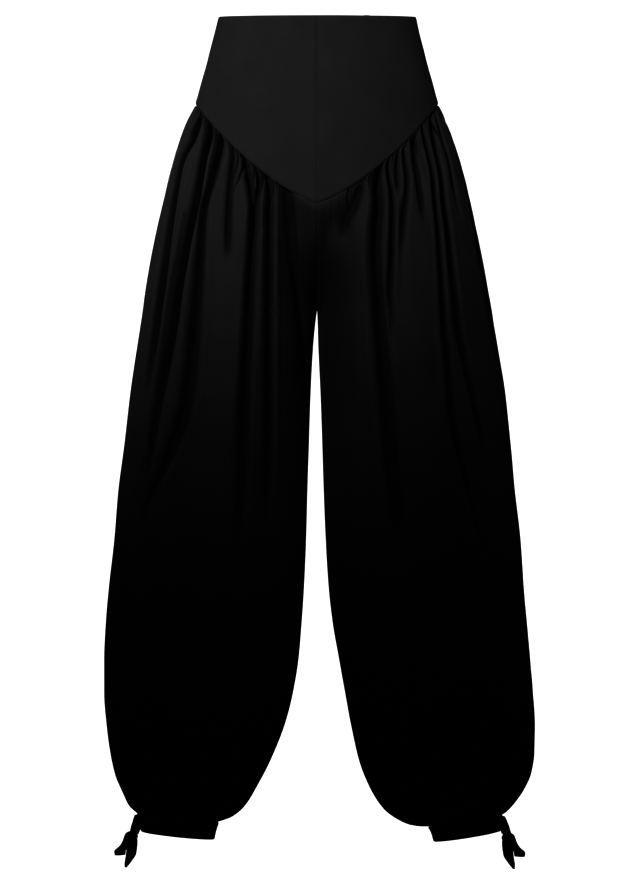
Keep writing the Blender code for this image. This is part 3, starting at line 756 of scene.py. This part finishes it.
def knot_grid(side):
    """The knot: a small bundle with the turns of the strip wound round it."""
    edge = leg_point(side, "front", np.array([0.0]), np.array([float(BAND_TOP[side])]))[0]
    polar, turn = np.linspace(0.02, math.pi - 0.02, 30)[:, None], np.linspace(0, 2 * math.pi, 49)[None]
    ridge = np.abs(np.sin(1.5 * polar + turn + 0.6 * np.sin(2 * turn)))
    radius = 0.82 + 0.24 * np.sqrt(ridge)
    level = np.cos(polar) + 0 * turn
    ball = np.stack([np.sin(polar) * np.cos(turn), np.sin(polar) * np.sin(turn), level], axis=-1)
    place = edge + np.array([KNOT_PLACE[0], KNOT_PLACE[1], -KNOT_PLACE[2]])
    # Painted shade darkens the grooves between the turns wound round the knot
    return place + ball * radius[..., None] * np.array(KNOT_SIZE) / 2, 0.8 * (1 - smooth(ridge * 2.5))


def tie_grids(side):
    """The knotted tie at the outer ankle."""
    strips = (TIE_ROOT[side], LONG_TAIL, SHORT_TAIL)
    return [ribbon_grid(side, strip, seed) for seed, strip in enumerate(strips)] + [knot_grid(side)]


def run_lengths(points, axis):
    """How far each point of a grid lies along its row or column, on average over the others."""
    steps = np.linalg.norm(np.diff(points, axis=axis), axis=-1)
    first = np.zeros_like(np.take(steps, [0], axis=axis))
    return np.cumsum(np.concatenate([first, steps], axis=axis), axis=axis)


def cloth_object(name, side, grids, thickness, material):
    """A thin shell of cloth through grids of points, with its weave laid out in real size and each point's
    painted shade kept as an attribute.
    """
    placed, faces, laid, painted_shade = [], [], [], []
    # Each grid brings the painted shade of its points, which darkens their colour
    for points, depth in grids:
        rows, columns = points.shape[:2]
        index = np.arange(rows * columns).reshape(rows, columns) + sum(len(p) for p in placed)
        corners = (index[:-1, :-1], index[1:, :-1], index[1:, 1:], index[:-1, 1:])
        faces.append(np.stack(corners, axis=-1).reshape(-1, 4))
        placed.append(points.reshape(-1, 3) * np.array([SIDES[side], 1, 1]) * MM)
        laid.append(np.stack([run_lengths(points, 1), run_lengths(points, 0)], axis=-1).reshape(-1, 2) * MM)
        painted_shade.append(depth.ravel())
    placed = np.concatenate(placed)
    data = bpy.data.meshes.new(name)
    data.from_pydata(placed.tolist(), [], np.concatenate(faces).tolist())
    probe = data.polygons[len(faces[0]) // 2]
    if Vector(probe.normal).dot(probe.center - Vector(placed.mean(axis=0))) < 0:
        data.flip_normals()
    layer = data.uv_layers.new(name="cloth")
    loops = np.empty(len(data.loops), int)
    data.loops.foreach_get("vertex_index", loops)
    layer.data.foreach_set("uv", np.concatenate(laid)[loops].ravel())
    data.attributes.new("painted_shade", "FLOAT", "POINT").data.foreach_set("value", np.concatenate(painted_shade))
    data.shade_smooth()
    data.materials.append(material)
    made = bpy.data.objects.new(name, data)
    bpy.context.scene.collection.objects.link(made)
    if thickness:
        shell = made.modifiers.new("cloth", "SOLIDIFY")
        shell.thickness = thickness * MM
        shell.offset = -1
    return made


class Nodes:
    """A material's nodes, added and joined by short calls."""

    def __init__(self, name):
        self.material = bpy.data.materials.new(name)
        self.material.use_nodes = True
        self.tree = self.material.node_tree
        self.shader = self.tree.nodes["Principled BSDF"]

    def add(self, kind, inputs=(), **settings):
        node = self.tree.nodes.new(kind)
        for key, value in settings.items():
            setattr(node, key, value)
        for key, value in dict(inputs).items():
            if isinstance(value, bpy.types.NodeSocket):
                self.tree.links.new(value, node.inputs[key])
            else:
                node.inputs[key].default_value = value
        return node

    def math(self, operation, a, b):
        return self.add("ShaderNodeMath", {0: a, 1: b}, operation=operation).outputs[0]

    def finish(self, **values):
        for key, value in values.items():
            socket = self.shader.inputs[key.replace("_", " ")]
            if isinstance(value, bpy.types.NodeSocket):
                self.tree.links.new(value, socket)
            else:
                socket.default_value = value
        return self.material


def cotton(name, tone):
    """Matte black cotton in a fine plain weave, a little uneven in its dye, with painted shade in its folds,
    creases and other shaded places, and a tone that paints shade on loose cloth.
    """
    n = Nodes(name)
    uv = n.add("ShaderNodeUVMap", uv_map="cloth").outputs["UV"]
    place = n.add("ShaderNodeTexCoord").outputs["Object"]
    threads = []
    for direction, scale in (("X", 620.0), ("Y", 560.0)):
        yarn = {"Vector": uv, "Scale": scale, "Distortion": 1.2, "Detail": 1.0}
        threads.append(n.add("ShaderNodeTexWave", yarn, bands_direction=direction).outputs["Fac"])
    weave = n.math("MULTIPLY", *threads)
    grain = n.add("ShaderNodeTexNoise", {"Vector": place, "Scale": 700.0, "Detail": 3.0, "Roughness": 0.6})
    cloud = n.add("ShaderNodeTexNoise", {"Vector": place, "Scale": 26.0, "Detail": 4.0, "Roughness": 0.6})
    height = n.math("ADD", weave, n.math("MULTIPLY", grain.outputs["Fac"], 0.8))
    fine = n.add("ShaderNodeBump", {"Strength": 0.55, "Distance": 0.00018, "Height": height})
    soft = n.add(
        "ShaderNodeBump",
        {"Strength": 0.4, "Distance": 0.002, "Height": cloud.outputs["Fac"], "Normal": fine.outputs[0]},
    )
    noises = ((grain, 0.55), (cloud, 0.45))
    parts = [n.math("MULTIPLY", noise.outputs["Fac"], share) for noise, share in noises]
    shade = n.math("ADD", *parts)
    ramp = n.add("ShaderNodeValToRGB", {"Fac": shade})
    ends = zip(ramp.color_ramp.elements, (0.3, 0.7), (DARK_COTTON, LIGHT_COTTON))
    for element, position, dye in ends:
        element.position = position
        element.color = (*(level * tone for level in dye), 1)
    # Painted shade: this attribute darkens the dye in folds, creases, the knot, the tie strips and between
    # the legs
    painted_shade = n.add("ShaderNodeAttribute", attribute_name="painted_shade").outputs["Fac"]
    kept = n.math("SUBTRACT", 1.0, n.math("MULTIPLY", painted_shade, PAINTED_SHADE_STRENGTH))
    colour = n.add("ShaderNodeVectorMath", {0: ramp.outputs["Color"], "Scale": kept}, operation="SCALE")
    return n.finish(
        Base_Color=colour.outputs[0],
        Normal=soft.outputs[0],
        Roughness=0.92,
        Specular_IOR_Level=0.18,
        Sheen_Weight=0.006,
        Sheen_Roughness=0.4,
    )


def black_metal():
    """Satin black lacquer on the zip's metal."""
    n = Nodes("black_metal_look")
    place = n.add("ShaderNodeTexCoord").outputs["Object"]
    grain = n.add("ShaderNodeTexNoise", {"Vector": place, "Scale": 900.0, "Detail": 4.0})
    rough = n.add("ShaderNodeMapRange", {"Value": grain.outputs["Fac"], "To Min": 0.5, "To Max": 0.7})
    bump = n.add("ShaderNodeBump", {"Strength": 0.15, "Distance": 0.0001, "Height": grain.outputs["Fac"]})
    return n.finish(
        Base_Color=(0.012, 0.012, 0.012, 1),
        Metallic=0.2,
        Roughness=rough.outputs[0],
        Normal=bump.outputs[0],
    )


def glow(name, strength, diffuse):
    """A pale studio surface that shines evenly and takes a faint shadow."""
    material = bpy.data.materials.new(name)
    material.use_nodes = True
    shader = material.node_tree.nodes["Principled BSDF"]
    shader.inputs["Base Color"].default_value = (diffuse, diffuse, diffuse, 1)
    shader.inputs["Roughness"].default_value = 1
    shader.inputs["Specular IOR Level"].default_value = 0
    shader.inputs["Emission Color"].default_value = (1, 1, 1, 1)
    shader.inputs["Emission Strength"].default_value = strength
    return material


def dress(made, node):
    """Has a piece of cloth ride on the trousers in the place of its CAD node."""
    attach(made, "trousers")
    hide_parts(node)


def make_camera():
    """The photo's view: from far in front, a little above the middle of the trousers."""
    camera = bpy.data.objects.new("camera", bpy.data.cameras.new("camera"))
    bpy.context.scene.collection.objects.link(camera)
    camera.location = (AIM[0], -CAMERA_DISTANCE, CAMERA_HEIGHT)
    camera.rotation_euler = (Vector(AIM) - camera.location).to_track_quat("-Z", "Y").to_euler()
    camera.data.sensor_width = SENSOR
    camera.data.lens = SENSOR * CAMERA_DISTANCE / FRAME_HEIGHT
    camera.data.clip_end = 100
    bpy.context.scene.camera = camera


def add_light(light):
    """A soft-edged spot light that points at its aim."""
    data = bpy.data.lights.new(light.name, "SPOT")
    data.energy = light.power
    data.spot_size = math.radians(light.angle)
    data.spot_blend = 1.0
    data.shadow_soft_size = light.radius
    made = bpy.data.objects.new(light.name, data)
    bpy.context.scene.collection.objects.link(made)
    made.location = light.place
    made.rotation_euler = (Vector(light.aim) - Vector(light.place)).to_track_quat("-Z", "Y").to_euler()


def studio():
    """A pale floor in an evenly pale surround, lit from the front, behind and, weaker, both sides."""
    bpy.ops.mesh.primitive_circle_add(vertices=128, radius=9, fill_type="NGON", location=(0, 0, FLOOR_HEIGHT))
    floor = bpy.context.object
    bpy.ops.mesh.primitive_uv_sphere_add(segments=64, ring_count=32, radius=30)
    surround = bpy.context.object
    for made, name, strength, diffuse in ((floor, "floor", 0.96, 0.05), (surround, "surround", 0.97, 0.0)):
        made.name = name
        made.data.materials.append(glow(name, strength, diffuse))
        made.visible_diffuse = False
        made.visible_glossy = False
        made.visible_transmission = False
        made.visible_shadow = False
    for light in LIGHTS:
        add_light(light)
    world = bpy.data.worlds.new("studio")
    world.use_nodes = True
    world.node_tree.nodes["Background"].inputs["Strength"].default_value = WORLD_GLOW
    bpy.context.scene.world = world
    bpy.context.scene.view_settings.view_transform = "Standard"
    bpy.context.scene.view_settings.look = "High Contrast"


def main():
    make_camera()
    pressed = cotton("pressed_cotton_look", PRESSED_TONE)
    # The same cotton in a darker tone, painted shade on the legs and ties
    loose_shaded = cotton("loose_shaded_cotton_look", LOOSE_SHADED_TONE)
    for side in SIDES:
        for face in FACES:
            yoke = cloth_object(f"cloth_yoke_{face}_{side}", side, [yoke_grid(side, face)], CLOTH, pressed)
            dress(yoke, f"yoke_{face}_{side}")
            leg = cloth_object(f"cloth_leg_{face}_{side}", side, [leg_grid(side, face)], 0, loose_shaded)
            dress(leg, f"leg_{face}_{side}")
        band = cloth_object(f"cloth_ankle_band_{side}", side, [band_grid(side)], BAND_CLOTH, pressed)
        dress(band, f"ankle_band_{side}")
        tie = cloth_object(f"cloth_tie_{side}", side, tie_grids(side), TIE_CLOTH, loose_shaded)
        dress(tie, f"ankle_tie_{side}")
    metal = black_metal()
    for name in ("zip_slider", "zip_pull"):
        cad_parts[name].data.materials.clear()
        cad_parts[name].data.materials.append(metal)
    studio()


main()
